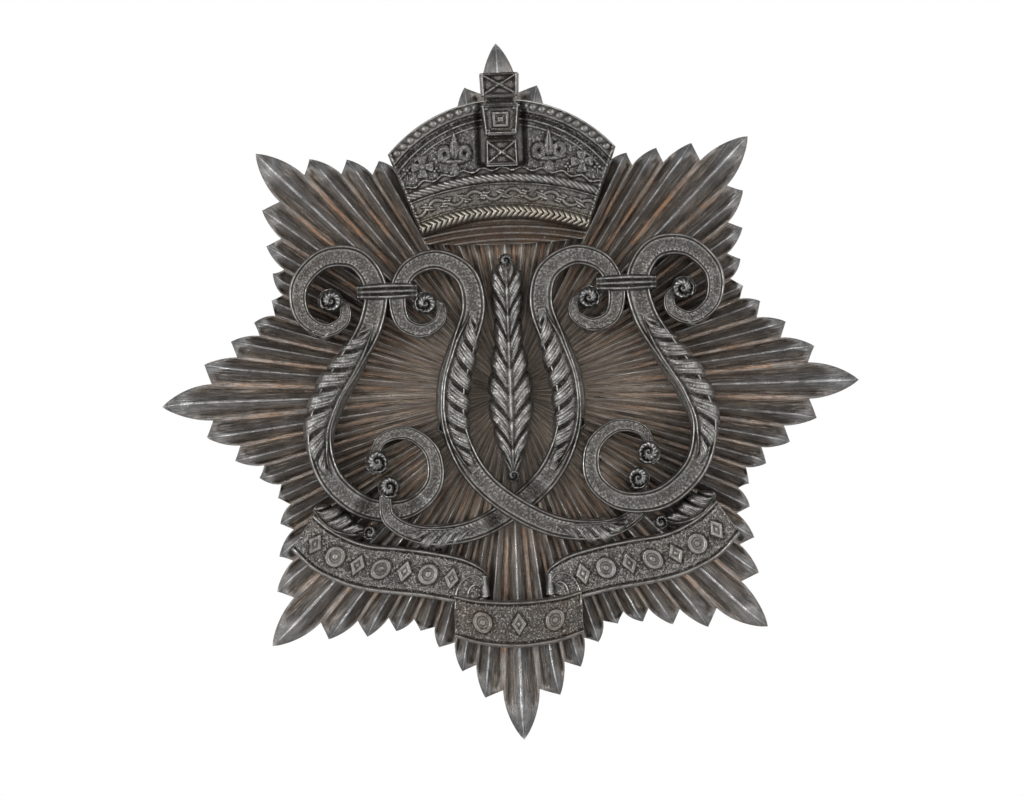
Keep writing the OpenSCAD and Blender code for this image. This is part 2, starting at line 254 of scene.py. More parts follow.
def read(source, name, width=1, kind=float):
    """One property of all items of a mesh, as an array."""
    values = np.empty(len(source) * width, kind)
    source.foreach_get(name, values)
    return values.reshape(-1, width) if width > 1 else values


def add_wear(me, gain):
    """Per-vertex 'edge' (rubbed ridges, from the shape and the ridge values) and 'tarnish_and_shade'
    (tarnish in hollows found from the shape, and the painted shade given by gap).
    """
    n = len(me.vertices)
    co = read(me.vertices, "co", 3)
    no = read(me.vertices, "normal", 3)
    a, b = read(me.edges, "vertices", 2, np.int64).T
    along = co[b] - co[a]
    size = np.linalg.norm(along, axis=1)
    ok = size > 1e-8
    a, b, along, size = a[ok], b[ok], along[ok], size[ok]
    count = np.bincount(a, minlength=n) + np.bincount(b, minlength=n) + 1e-9
    bend = (np.bincount(a, -(no[a] * along).sum(1) / size, minlength=n)
            + np.bincount(b, (no[b] * along).sum(1) / size, minlength=n)) / count

    def blur(v, times):
        for _ in range(times):
            neighbours = np.bincount(a, v[b], minlength=n) + np.bincount(b, v[a], minlength=n)
            v = 0.5 * v + 0.5 * neighbours / count
        return v
    near = blur(bend, 1)
    far = blur(bend, 14)
    ridge = read(me.attributes["ridge"].data, "value", kind=np.float32)
    gap = read(me.attributes["gap"].data, "value", kind=np.float32)
    # gap is mostly painted shade: it takes the rubbed brightness away and darkens as tarnish in a hollow
    # does
    edge = np.maximum(np.clip(near * 5 * gain, 0, 1), ridge) * (1 - gap)
    tarnish_and_shade = np.maximum(np.clip(-far * 14 * gain - near * 3 * gain, 0, 1), gap)
    for name, values in (("edge", edge), ("tarnish_and_shade", tarnish_and_shade)):
        layer = me.attributes.new(name, "FLOAT", "POINT")
        layer.data.foreach_set("value", values.astype(np.float32))


# ---- materials
class Nodes:
    """Short calls that build the shader nodes of one material or world."""

    def __init__(self, owner):
        owner.use_nodes = True
        self.tree = owner.node_tree
        self.tree.nodes.clear()

    def new(self, kind):
        return self.tree.nodes.new(kind)

    def put(self, value, socket):
        """Links another node's output, or sets a plain number or colour."""
        if hasattr(value, "links"):
            self.tree.links.new(value, socket)
        elif isinstance(value, tuple):
            socket.default_value = (*value, 1)
        else:
            socket.default_value = value

    def math(self, op, a, b, clamp=True):
        n = self.new("ShaderNodeMath")
        n.operation = op
        n.use_clamp = clamp
        self.put(a, n.inputs[0])
        self.put(b, n.inputs[1])
        return n.outputs[0]

    def times(self, a, b):
        return self.math("MULTIPLY", a, b)

    def plus(self, a, b):
        return self.math("ADD", a, b)

    def minus(self, a, b):
        return self.math("SUBTRACT", a, b)

    def ramp(self, value, lo, hi):
        n = self.new("ShaderNodeMapRange")
        n.inputs["From Min"].default_value = lo
        n.inputs["From Max"].default_value = hi
        self.put(value, n.inputs["Value"])
        return n.outputs["Result"]

    def mix(self, share, a, b):
        n = self.new("ShaderNodeMix")
        n.data_type = "RGBA"
        self.put(share, n.inputs["Factor"])
        self.put(a, n.inputs["A"])
        self.put(b, n.inputs["B"])
        return n.outputs["Result"]

    def noise(self, where, scale, detail=4, roughness=0.55):
        n = self.new("ShaderNodeTexNoise")
        n.inputs["Scale"].default_value = scale
        n.inputs["Detail"].default_value = detail
        n.inputs["Roughness"].default_value = roughness
        self.put(where, n.inputs["Vector"])
        return n.outputs["Fac"]

    def attribute(self, name):
        n = self.new("ShaderNodeAttribute")
        n.attribute_name = name
        return n.outputs["Fac"]

    def bump(self, height, strength, depth, before=None):
        """depth is in metres."""
        n = self.new("ShaderNodeBump")
        n.inputs["Strength"].default_value = strength
        n.inputs["Distance"].default_value = depth
        self.put(height, n.inputs["Height"])
        if before:
            self.put(before, n.inputs["Normal"])
        return n.outputs["Normal"]

    def ray_coordinates(self, where, across, along):
        """Coordinates that run long along the rays: angle round the centre and distance from it."""
        apart = self.new("ShaderNodeSeparateXYZ")
        self.put(where, apart.inputs[0])
        angle = self.math("ARCTAN2", apart.outputs["X"], apart.outputs["Z"], clamp=False)
        radius = self.new("ShaderNodeVectorMath")
        radius.operation = "LENGTH"
        self.put(where, radius.inputs[0])
        together = self.new("ShaderNodeCombineXYZ")
        self.put(self.math("MULTIPLY", angle, across, clamp=False), together.inputs[0])
        self.put(self.math("MULTIPLY", radius.outputs["Value"], along, clamp=False), together.inputs[1])
        return together.outputs[0]


def shade(colour, k):
    return tuple(c * k for c in colour)


def groove_streaks(n, where, colour, film, tone, rib, streak, hair):
    """The struck star only: worn copper in patches along the grooves, fine dark and light draw lines."""
    patch = n.ramp(n.noise(where, 420, 5, 0.7), 0.37, 0.54)
    copper = n.times(n.times(rib, patch), n.ramp(streak, 0.3, 0.5))
    colour = n.mix(copper, colour, COPPER)
    dark_lines = n.times(n.ramp(hair, 0.53, 0.61), n.plus(n.times(tone, 0.65), 0.25))
    colour = n.mix(dark_lines, colour, shade(film, 0.24))
    light_lines = n.times(n.ramp(hair, 0.48, 0.34), n.plus(n.times(tone, 0.6), 0.2))
    return n.mix(light_lines, colour, shade(film, 1.8))


def worn_metal(name, dark, mid, bright, film, rough=0.42, clouds=0.5, rubbing=0.8, grain=1, struck=False):
    """Mottled metal with a brown film, tarnish and painted shade in the hollows, rubbed edges, a stippled
    ground with painted glints, painted sparkle and fine grain.
    """
    mat = bpy.data.materials.new(name)
    n = Nodes(mat)
    where = n.new("ShaderNodeTexCoord").outputs["Object"]
    edge, tarnish_and_shade, tone, grit, rib = (n.attribute(k) for k in ("edge", "tarnish_and_shade", "tone", "grit", "rib"))
    medium = n.noise(where, 900, 5, 0.6)
    fine = n.noise(where, 5200, 3, 0.6)
    if struck:
        streak = n.noise(n.ray_coordinates(where, 46, 260), 1, 5, 0.65)
        hair = n.noise(n.ray_coordinates(where, 130, 420), 1, 4, 0.7)
    else:
        streak = n.noise(where, 420, 5, 0.65)

    colour = n.mix(n.ramp(medium, 0.34, 0.66), dark, mid)
    cloud = n.times(n.ramp(n.noise(where, 170, 5, 0.6), 0.42, 0.66), clouds)
    covered = n.plus(n.times(cloud, 0.5), n.times(tone, n.ramp(streak, 0.25, 0.6)))
    colour = n.mix(covered, colour, film)
    # tarnish in the hollows, and painted shade where gap is set
    colour = n.mix(n.times(tarnish_and_shade, 0.82), colour, GROOVE_DIRT_AND_SHADE if struck else shade(film, 0.28))
    if struck:
        colour = groove_streaks(n, where, colour, film, tone, rib, streak, hair)
    pits = n.ramp(n.noise(where, 5600, 2, 0.7), 0.4, 0.62)
    colour = n.mix(n.times(grit, n.minus(0.75, pits)), colour, shade(dark, 0.35))
    rub = n.times(n.times(edge, n.ramp(n.noise(where, 1500, 4, 0.6), 0.24, 0.56)), rubbing)
    # where rib is set (the crown's lower cable) the rubbed crests take a gilt colour: a painted warm
    # highlight
    colour = n.mix(rub, colour, bright if struck else n.mix(rib, bright, GILT_HIGHLIGHT))
    # painted sparkle: fine bright flecks of highlight all over the metal
    sparkle_highlight = n.times(n.ramp(fine, 0.6, 0.76), 0.34)
    colour = n.mix(sparkle_highlight, colour, bright)
    glint = n.times(grit, n.times(n.ramp(pits, 0.75, 1), 0.42))
    colour = n.mix(glint, colour, bright)

    roughness = n.plus(n.times(medium, 0.3), rough - 0.15)
    roughness = n.plus(roughness, n.times(tarnish_and_shade, 0.25))
    roughness = n.minus(roughness, n.times(rub, 0.14))

    grains = n.plus(n.times(fine, 0.55), n.times(n.noise(where, 14000, 2), 0.45))
    normal = n.bump(grains, 0.5, 0.00006 * grain)
    normal = n.bump(medium, 0.45, 0.00012 * grain, normal)
    normal = n.bump(n.times(pits, grit), 0.6, 0.00009, normal)
    if struck:
        normal = n.bump(streak, 0.55, 0.00016, normal)
        normal = n.bump(hair, 0.8, 0.00026, normal)

    shader = n.new("ShaderNodeBsdfPrincipled")
    shader.inputs["Metallic"].default_value = 1
    n.put(colour, shader.inputs["Base Color"])
    n.put(roughness, shader.inputs["Roughness"])
    n.put(normal, shader.inputs["Normal"])
    n.put(shader.outputs["BSDF"], n.new("ShaderNodeOutputMaterial").inputs["Surface"])
    return mat


BROWN_FILM = (0.17, 0.115, 0.08)
COPPER = (0.4, 0.215, 0.11)
# tarnish, and painted shade, in the star's grooves
GROOVE_DIRT_AND_SHADE = (0.088, 0.062, 0.045)
# a painted warm highlight in a gilt colour, on the crown's lower cable
GILT_HIGHLIGHT = (0.92, 0.85, 0.69)

star_mat = worn_metal("tarnished_star", dark=(0.115, 0.117, 0.12), mid=(0.25, 0.25, 0.25),
                      bright=(0.95, 0.94, 0.92), film=(0.39, 0.335, 0.282),
                      rough=0.38, clouds=0.3, rubbing=1, struck=True)
cast_mat = worn_metal("tarnished_cast", dark=(0.083, 0.086, 0.085), mid=(0.182, 0.185, 0.181),
                      bright=(0.75, 0.735, 0.7), film=BROWN_FILM,
                      clouds=0.3, rubbing=0.85)
brass_mat = worn_metal("dull_brass", dark=(0.16, 0.12, 0.065), mid=(0.42, 0.33, 0.17),
                       bright=(0.85, 0.7, 0.42), film=(0.1, 0.07, 0.04),
                       clouds=0.8, rubbing=0.7)
lug_mat = worn_metal("dull_lug", dark=(0.24, 0.24, 0.24), mid=(0.46, 0.46, 0.47),
                     bright=(0.8, 0.8, 0.79), film=(0.24, 0.19, 0.14),
                     rough=0.4, rubbing=0.6)
pin_mat = worn_metal("drawn_brass", dark=(0.3, 0.22, 0.1), mid=(0.58, 0.45, 0.22),
                     bright=(0.92, 0.78, 0.48), film=(0.16, 0.1, 0.05),
                     rough=0.34, clouds=0.6, rubbing=0.6)
solder_mat = worn_metal("solder", dark=(0.13, 0.13, 0.135), mid=(0.27, 0.27, 0.28),
                        bright=(0.62, 0.62, 0.62), film=BROWN_FILM,
                        rough=0.46, clouds=0.4, rubbing=0.4, grain=1.6)


def cast(p, node, flip=False, **options):
    """Makes a silver casting that stands for a CAD node; flip swaps its left and right."""
    if flip:
        p.mirror()
    p.make(cast_mat, "silver_cast", [node], **options)


# ---- star plate
# The same eight rays repeat round the star: their angles and those of the grooves after them, in degrees
# from the long point, and their reach as a share of the long point's.
RAYS = 64
OFFSET = [0, 6.6, 12, 17.3, 22.5, 27.7, 33, 38.4]
GROOVE = [3.5, 9.2, 14.6, 19.9, 25.1, 30.4, 35.8, 41.5]
SHARE = [1, 0.882, 0.815, 0.762, 0.734, 0.762, 0.815, 0.882]

MIDDLE_R = 0.5      # where the rays start
STEPS = 40          # rows along a ray's body
TIP_STEPS = 12      # rows along its free tip
BODY = np.linspace(0, 1, STEPS + 1)
TIP = np.linspace(0, 1, TIP_STEPS + 1)[1:]
IN_BODY = np.r_[np.ones(STEPS + 1), 1 - smooth(0, 0.7, TIP)]
# Columns of points from a ray's crest (0) to the middle of the next groove (1).
ACROSS = [0, 0.04, 0.09, 0.16, 0.26, 0.38, 0.5, 0.6, 0.68, 0.78, 0.89, 1]
FOOT = 0.64         # where a flank meets the groove's floor

# Radius and y of the rings behind the star, from the flat rim to the hollow's floor.
BACK = [(19.6, 0), (HOLLOW_R + 0.12, 0), (HOLLOW_R - 0.02, -0.1), (HOLLOW_R - 0.2, -0.75)]
BACK += [(r, -HOLLOW_D) for r in (HOLLOW_R - 0.6, 14, 9, 5, 2, 0.4)]


def ray_crest(rng, i, angle, tip, inner):
    """The crest of one ray, from the star's middle to its tip, with the ray's small faults."""
    main = i % 8 == 0
    angle = angle + rng.normal(0, 0.12)
    lean = rng.normal(0, 0.1)
    r = np.r_[MIDDLE_R + (inner - MIDDLE_R) * BODY, inner + (tip - inner) * TIP]
    drop = 0.3 * smooth(0.55 * tip, inner, r)
    prow = smooth(inner + (0.25 if main else 0) * (tip - inner), tip + 0.15, r) ** 1.3
    h = SEAT - 0.02 - drop - prow * 1.42 + 0.02 * np.sin(r * 1.3 + i)
    bend = rng.normal(0, 0.3)
    return SimpleNamespace(main=main, angle=angle, lean=lean, tip=tip, r=r, prow=prow, h=h, bend=bend)


def flank_profile(u, r, lean):
    """Height at share u across a flank: 1 on the crest, 0 on the low rib in the groove, less beside it."""
    low = 0.05 + 0.25 * smooth(8, 17, r)
    if u < FOOT:
        cut = (1 + low) * (1 - u / FOOT) ** (0.95 + lean) - low
    else:
        cut = -low * (1 - smooth(FOOT, 0.92, u))
    return IN_BODY * cut + (1 - IN_BODY) * (1 - u ** 1.45)


def flank_wear_and_shade(u, r, z, stain, prow):
    """The material's values across a flank: brown film, copper on the low rib, rubbed crest, and painted
    shade at the groove's foot, over the star's upper half and on the tip's outer walls.
    """
    inside = np.r_[1 - 0.85 * smooth(0.8, 1, BODY), np.zeros(TIP_STEPS)]
    lower = (0.1 + 0.8 * smooth(0.15, 0.55, u)) * (0.6 + 0.4 * smooth(24, 19, r))
    tone = smooth(0, 3, r) * IN_BODY * stain * np.maximum(lower, 1.5 * smooth(18, 10, r))
    rib = inside * (smooth(0.76, 0.9, u) * 1.3 * smooth(6, 13, r) + 0.08 * smooth(18, 9, r))
    ridge = (1 if u == 0 else 0.9 if u < 0.05 else 0) * smooth(4, 12, r) * (1 - 0.6 * prow)
    # painted shade at the foot of each flank, in the groove
    foot = bump(u, 0.62, 0.15) * 0.95 * smooth(8, 15, r)
    # painted shade: the star's upper half darker, more so away from the crest
    upper_star_shade = (0.12 + 0.58 * smooth(0.12, 0.5, u)) * smooth(2, 18, z)
    # painted shade on the tip's outer walls, which would otherwise catch a bright edge
    skirt_shade = smooth(0.7, 1, u) * np.r_[smooth(0.94, 1, BODY), np.ones(TIP_STEPS)]
    gap = np.maximum(inside * np.maximum(foot, upper_star_shade), 0.7 * skirt_shade)
    return dict(tone=tone, rib=rib, ridge=ridge, gap=gap)


def ray_flank(rng, crest, groove, notch, hand):
    """One flank of a ray as columns of points, from the crest to the groove; hand is -1 or 1."""
    middle = crest.angle
    tip = crest.tip
    groove = groove - (360 if groove - middle > 180 else 0) + (360 if middle - groove > 180 else 0)
    half = abs(groove - middle)
    side_r = np.r_[MIDDLE_R + (notch - MIDDLE_R) * BODY, notch + (tip - notch) * TIP]
    if tip - notch < 1.2:
        ogive = (1 - TIP) ** 1.1
    else:
        ogive = (1 - TIP ** (1.9 if crest.main else 1.6)) ** 0.88
    ogive = np.r_[np.ones(STEPS + 1), ogive * (notch / side_r[STEPS + 1:])]
    crest_a = middle + np.r_[np.zeros(STEPS + 1), crest.bend * TIP * TIP]
    side_a = crest_a + hand * half * ogive
    side_h = np.r_[SEAT - 0.04 - 1.22 * BODY ** 1.35, 1.34 - 0.45 * TIP]
    stain = rng.uniform(0.55, 1.15)
    columns = []
    for u in ACROSS[0 if hand > 0 else 1:]:
        a = np.radians(crest_a + (side_a - crest_a) * u)
        r = crest.r + (side_r - crest.r) * u
        h = side_h + (crest.h - side_h) * flank_profile(u, r, crest.lean * hand)
        points = surface(r * np.cos(a), h, r * np.sin(a))
        columns.append(dict(points=points, **flank_wear_and_shade(u, r, points[:, 2], stain, crest.prow)))
    return columns


def star_back(p, rim):
    """Closes the star behind its rim. The rays show faintly in the hollow."""
    top = np.array(rim)
    ang = np.arctan2(top[:, 2], top[:, 0])
    inset = np.hypot(top[:, 0], top[:, 2]) - 0.1
    wall = top.copy()
    wall[:, 1] = -0.12
    rings = [top, wall, surface(inset * np.cos(ang), 0, inset * np.sin(ang))]
    for r, y in BACK:
        ghost = 0
        if r < HOLLOW_R - 1:
            ghost = 0.16 * smooth(16, 14, r) * smooth(0.3, 6, r) * (0.5 + 0.5 * np.cos(RAYS * ang))
        rings.append(surface(r * np.cos(ang), ghost - y, r * np.sin(ang)))
    # painted shade on the outer walls round the rim, which would otherwise catch a bright edge
    wall_shade = np.array([0.8, 0.6, 0.2] + [0] * len(BACK))
    p.grid(np.array(rings), close_v=True, gap=wall_shade[:, None])
    p.add(rings[-1], [list(range(len(ang)))])


def star_plate():
    """64 ridged rays. A low rib, worn to the copper, runs along the floor of every groove between them."""
    p = Part("star_plate_struck", 3)
    ray = [90 + 45 * (i // 8) + OFFSET[i % 8] for i in range(RAYS)]
    groove = [90 + 45 * (i // 8) + GROOVE[i % 8] for i in range(RAYS)]
    tip = [STAR_R * SHARE[i % 8] for i in range(RAYS)]
    notch = [min(tip[i], tip[(i + 1) % RAYS]) - 0.75 for i in range(RAYS)]
    rim = []
    for i in range(RAYS):
        crest = ray_crest(p.rng, i, ray[i], tip[i], min(notch[i], notch[i - 1]))
        before = ray_flank(p.rng, crest, groove[i - 1], notch[i - 1], -1)
        after = ray_flank(p.rng, crest, groove[i], notch[i], 1)
        rim += list(before[-1]["points"][STEPS:-1])
        rim += list(after[-1]["points"][:STEPS:-1])
        columns = before[::-1] + after
        sheet = {k: np.stack([c[k] for c in columns], 1) for k in columns[0]}
        points = sheet.pop("points")
        points[-1, :, :] = points[-1, len(ACROSS) - 1, :]
        p.grid(points, **sheet)
    star_back(p, rim)
    # close the small hole left at the very centre of the face
    p.lathe([(0.2, -SEAT + 0.35), (0.8, -SEAT + 0.3), (0.8, -SEAT + 0.02), (0.2, -SEAT)], seg=32)
    p.make(star_mat, "silver_star", ["star_plate"], weld=0.004, sharp=30, edge_gain=0.5)


star_plate()


# ---- scrollwork
# Centre lines of the left scrolls: x, z and width at every station.
OUTER = [(-15.2, 8.3, 0.8), (-14, 7.9, 0.9), (-14.1, 6.5, 1.1), (-15.8, 5.8, 1.2), (-17.6, 7.2, 1.4),
         (-17.7, 9.8, 1.6), (-15.6, 11.9, 1.8), (-12.8, 11.8, 2), (-11.25, 9.4, 2.1), (-11.75, 6.2, 2.2),
         (-13.6, 3, 2.2), (-15.5, 0, 2.2), (-16.5, -3.4, 2.2), (-15.6, -7, 2.1), (-12.7, -9.5, 2),
         (-9.2, -9.7, 1.8), (-6.9, -7.8, 1.6), (-6.9, -5, 1.4), (-8.8, -3.3, 1.2), (-11, -3.6, 1),
         (-12, -5.2, 0.8)]
INNER = [(-7.1, 8, 0.7), (-5.85, 7.7, 0.8), (-5.8, 6.35, 1), (-7.35, 5.5, 1.2), (-9, 6.3, 1.4),
         (-9.35, 8.6, 1.6), (-8.2, 10.8, 1.7), (-5.8, 11.5, 1.8), (-3.5, 10.1, 2), (-2.9, 7.3, 2.1),
         (-3.9, 4, 2.2), (-4.9, 0.4, 2.2), (-4.8, -3.4, 2.2), (-3.1, -7.1, 2.1), (0, -9.9, 2),
         (3.9, -11.8, 1.9), (8, -12, 1.6), (10.7, -10.6, 1.3), (11.1, -8.5, 1)]
# Stations across a strap, closer together at its borders; the doubled ends make the side walls.
LEFT_HALF = np.array([-1, -1, -.985, -.95, -.91, -.87, -.83, -.79, -.75, -.70, -.64, -.56, -.46, -.36, -.26,
                      -.16, -.05])
LATERAL = np.r_[LEFT_HALF, -LEFT_HALF[::-1]]
STRAP_END = 1.25    # thickness of a strap at its ends
FULL_WIDTH = 2.2    # a narrower strap has less relief


def beside(c, off, height):
    """Points off to the side of the centre line c, at a height in front of the star's back."""
    return surface(c.x[:, None] + c.nx[:, None] * off, height, c.z[:, None] + c.nz[:, None] * off)


def strap(p, ctrl, crossings, dots=1):
    """One flat cast strap: raised borders, an engraved line, a row of fine dots.

    A crossing is a station and whether the strap goes over there; it then lifts, or else dips."""
    c = path(ctrl, 0.075)
    base = np.full(c.n, SEAT)
    ends = smooth(0, 3, c.s) * smooth(0, 2.5, c.length - c.s)
    top = STRAP_END + (STRAP - STRAP_END) * ends
    for k, over in crossings:
        away = np.abs(c.s - np.interp(k, c.k, c.s))
        if over:
            top += 0.22 * smooth(3.4, 1.7, away)
            base += smooth(2.2, 1.6, away)
        else:
            top -= 0.95 * smooth(3.4, 1.7, away)
    u = LATERAL[None, :]
    e = np.abs(u)
    s = c.s[:, None]
    w = c.w[:, None]
    k = np.clip(w / FULL_WIDTH, 0.45, 1)
    h = k * (0.15 * bump(e, 0.83, 0.085) - 0.08 * bump(e, 0.66, 0.07) - 0.34 * smooth(0.9, 1, e))
    h = h - 0.1 * k * (1 - np.clip(e / 0.62, 0, 1) ** 2)
    h[:, [0, -1]] -= 0.3
    h = h - 0.075 * bump(u, 0.47 * dots, 0.075) * (0.5 + 0.5 * np.cos(s * TAU / 0.4)) ** 2
    h = h + 0.05 * np.sin(s * 0.9 + 2 * u) * k + p.rng.normal(0, 0.004, (c.n, len(LATERAL)))
    points = beside(c, u * w / 2, SEAT + top[:, None] + h)
    p.strip(points, base + 0.02, grit=0.55 * smooth(0.72, 0.55, e), tone=0.25)


def acanthus(p, ctrl, first, last, widths, top, wrap=0.7, side=1, period=1.9, rise=0.42, both=False,
             base=SEAT + 0.9, slant=0.85):
    """A leaf along a curve: a rib with bold rolled lobes on one side, or on both, and a scalloped edge.

    a runs across the leaf, f along it, u from the rib outwards, and q from -1 to 1 through each lobe."""
    c = path(ctrl, 0.06, first, last)
    a = row(-1, 1, 45)
    s = c.s[:, None]
    f = s / c.length
    rib = 0 if both else -0.5 * side
    v = (a - rib) * side
    if both:
        u = np.abs(a)
        lobed = np.ones_like(a)
    else:
        u = np.where(v > 0, v / (1 + abs(rib)), -v / (1 - abs(rib)))
        lobed = smooth(-0.05, 0.08, v)
    q = np.mod(s / period - slant * u ** 0.85, 1) * 2 - 1
    petal = np.sqrt(np.clip(1 - np.abs(q) ** 2.4, 0, 1))
    w = np.interp(f, np.linspace(0, 1, len(widths)), widths)
    half = w / 2 * (1 + 0.24 * (petal - 0.55) * smooth(0.5, 1, u) * lobed)
    env = smooth(0, 0.08, f) * smooth(0, 0.08, 1 - f)
    roll = smooth(0.05, 0.75, u) * (1 - 0.45 * smooth(0.86, 1, u))
    veins = np.cos(q * math.pi * 6) * (0.7 + 0.3 * np.cos(u * 60))
    h = rise * (1 - np.abs(a) ** 2.2) - wrap * np.abs(a) ** 5
    h = h + env * lobed * (0.62 * petal * (0.84 + 0.16 * q) * (0.22 + 0.78 * roll) - 0.34)
    h = h - env * lobed * 0.085 * np.cos(q * math.pi * 2) * petal * smooth(0.12, 0.4, u)
    h = h + env * lobed * 0.045 * veins * smooth(0.15, 0.4, u)
    h = h + 0.2 * bump(a, rib, 0.075) + (1 - lobed) * (0.1 * bump(u, 0.8, 0.12) - 0.06)
    h = h + p.rng.normal(0, 0.007, h.shape)
    h = h * (0.35 + 0.65 * env)
    crest = 0.55 * env * lobed * bump(q, 0, 0.34) * smooth(0.25, 0.7, u)
    p.strip(beside(c, a * half, SEAT + top + h), base, ridge=crest, grit=0.35, tone=0.15)


def outer_scroll(side, over):
    """over says whether it passes over the inner scroll's tail."""
    flip = side == "right"
    p = Part("outer_scroll_%s_cast" % side, 11 + flip)
    strap(p, OUTER, [(14.55, over)], dots=-1)
    acanthus(p, OUTER, 9, 12.9, [0.9, 2.5, 3, 2.9, 2.4, 0.7], STRAP - 0.05, side=-1)
    p.curl(-15.1, 8.3, 1.05, turn=2.4, top=1.95)
    p.curl(-11.6, -5.6, 1.05, turn=0.6, top=1.95)
    p.curl(-17, -2.6, 0.66, 1, -1, top=1.6)
    acanthus(p, OUTER, 2.2, 4.2, [0.3, 1.5, 1.3, 0.4], 1.45, wrap=0.4, period=1, rise=0.22)
    cast(p, "outer_scroll_" + side, flip)


def inner_scroll(side, over_middle, over_tail):
    """It crosses the other inner scroll in the middle, and an outer scroll with its tail."""
    flip = side == "right"
    p = Part("inner_scroll_%s_cast" % side, 21 + flip)
    strap(p, INNER, [(14, over_middle), (17.25, over_tail)])
    acanthus(p, INNER, 9.1, 12.9, [0.9, 2.5, 2.9, 2.8, 2.2, 0.7], STRAP - 0.05)
    p.curl(-7, 7.8, 1.02, turn=2.4, top=1.95)
    p.curl(10.65, -7.8, 1, turn=4, hand=-1, top=1.95)
    p.curl(-5.85, -2.9, 0.64, 4, 1, top=1.6)
    acanthus(p, INNER, 2, 4.2, [0.3, 1.4, 1.3, 0.4], 1.4, wrap=0.4, period=1, rise=0.22)
    acanthus(p, INNER, 14.9, 16.5, [0.4, 2, 2.1, 0.5], STRAP - 0.15, wrap=0.5, side=-1, period=1.3,
             rise=0.3)
    cast(p, "inner_scroll_" + side, flip)


def collars():
    """Two ribbed bands, each tying an outer scroll to the inner one beside it."""
    p = Part("scroll_collar_pair", 31)
    x = column(-2.55, 2.55, 60)
    t = row(-1, 1, 25)
    z = 8.95 + 0.75 * t * (1 - 0.06 * np.abs(x))
    ends = 0.35 * smooth(2.1, 2.55, np.abs(x))
    relief = 0.42 - 0.28 * np.abs(t) ** 4 - ends + 0.12 * np.cos(t * TAU * 1.5)
    for hand in (-1, 1):
        h = relief + p.rng.normal(0, 0.012, relief.shape)
        p.strip(surface(hand * (-10.25 + x), SEAT + STRAP + h, z), SEAT + 0.3)
    cast(p, "scroll_collars")


def plume():
    """The double-sided leaf between the inner scrolls."""
    p = Part("centre_plume_cast", 41)
    line = [(0, -7.4, 1), (0, 0, 1), (0, 11.7, 1)]
    widths = [0.5, 1.7, 2.6, 3.3, 3.6, 3.5, 3.1, 2.5, 2.2, 2.3, 2.7, 2.6, 0.5]
    acanthus(p, line, 0, 2, widths, STRAP - 0.35, wrap=0.9, period=2.3, rise=0.5, both=True, base=SEAT,
             slant=1)
    p.curl(0, 11.2, 0.66, 1.57, 1, top=1.9)
    p.curl(0, -7.2, 0.6, 1.57, 1, top=1.75)
    cast(p, "centre_plume")


outer_scroll("left", over=False)
outer_scroll("right", over=True)
inner_scroll("left", over_middle=True, over_tail=False)
inner_scroll("right", over_middle=False, over_tail=True)
collars()
plume()


# ---- crown
# The cables and the band follow circles about a point at z = CABLE_Z, the round top follows circles about
# one at z = TOP_Z. rho and ra are the distances from these two points.
CABLE_Z = -5.1
TOP_Z = 12
TOP_R = 13.08               # outline of the round top
CROWN_ROUND = 34            # radius to which the plate is bent
LOWER_CABLE = 20.55         # values of rho
BAND = 22.05
UPPER_CABLE = 23.45
LOWER_PITCH = 0.52          # length of one strand
LOWER_LEAN = 0.8
CROWN_GROUND = 1.46         # height of the plate over the rays
FIELD = 1.42                # height from which the ornaments rise


def crown_half(z):
    """Half the crown's width at height z."""
    return 7.1 + (z - 13.5) * 0.375


def crown_sheet():
    """The crown's points: x, z, rho, ra, length along the bands, length round the top, way to the side."""
    u = row(-1, 1, 321)
    v = column(0, 1, 231)
    low = 12.92 - 0.3 * (1 - u * u)
    high = np.full_like(u, 22)
    for _ in range(12):
        high = TOP_Z + np.sqrt(np.clip(TOP_R ** 2 - (u * crown_half(high)) ** 2, 0, None))
    z = low + (high - low) * v
    x = u * crown_half(z)
    return SimpleNamespace(
        x=x, z=z,
        rho=np.hypot(x, z - CABLE_Z), along=np.arctan2(x, z - CABLE_Z) * 22,
        ra=np.hypot(x, z - TOP_Z), arc=np.arctan2(x, z - TOP_Z) * 12.5,
        side=crown_half(z) - np.abs(x))


def fleur(dx, dz):
    """A three-leaved flower on a short stem, with a band across it."""
    tip = np.clip(1 - np.maximum(dz - 0.1, 0) / 1.45, 0.05, 1)
    h = dome((dx / (0.52 * tip)) ** 2 + (np.minimum(dz - 0.1, 0) / 0.7) ** 2, 0.5) * (dz < 1.5)
    h = h - 0.1 * bump(dx, 0, 0.07) * (h > 0.1)
    for hand in (-1, 1):
        d = np.abs(np.hypot(dx - hand * 0.74, (dz + 0.1) * 0.85) - 0.33)
        keep = smooth(-0.8, -0.4, dz + 0.35 * hand * dx)
        h = np.maximum(h, dome((d / 0.27) ** 2, 0.42) * keep)
        h = np.maximum(h, dome(((dx - hand * 1.04) / 0.26) ** 2 + ((dz + 0.46) / 0.26) ** 2, 0.36))
    h = np.maximum(h, dome((dx / 0.8) ** 4 + ((dz + 0.68) / 0.21) ** 2, 0.46))
    stem = 0.3 + 0.3 * np.clip(-dz - 0.9, 0, 1)
    return np.maximum(h, dome((dx / stem) ** 2 + ((dz + 1.2) / 0.66) ** 2, 0.36))


def cross(dx, dz):
    """A cross of four widening arms with a small boss in the middle."""
    dx = np.abs(dx)
    dz = np.abs(dz)
    level = dx ** 8 + (dz / (0.18 + 0.4 * dx)) ** 4
    upright = dz ** 8 + (dx / (0.18 + 0.4 * dz)) ** 4
    boss = dome((dx / 0.22) ** 2 + (dz / 0.22) ** 2, 0.12)
    return np.maximum(dome(level, 0.34), dome(upright, 0.34)) + boss


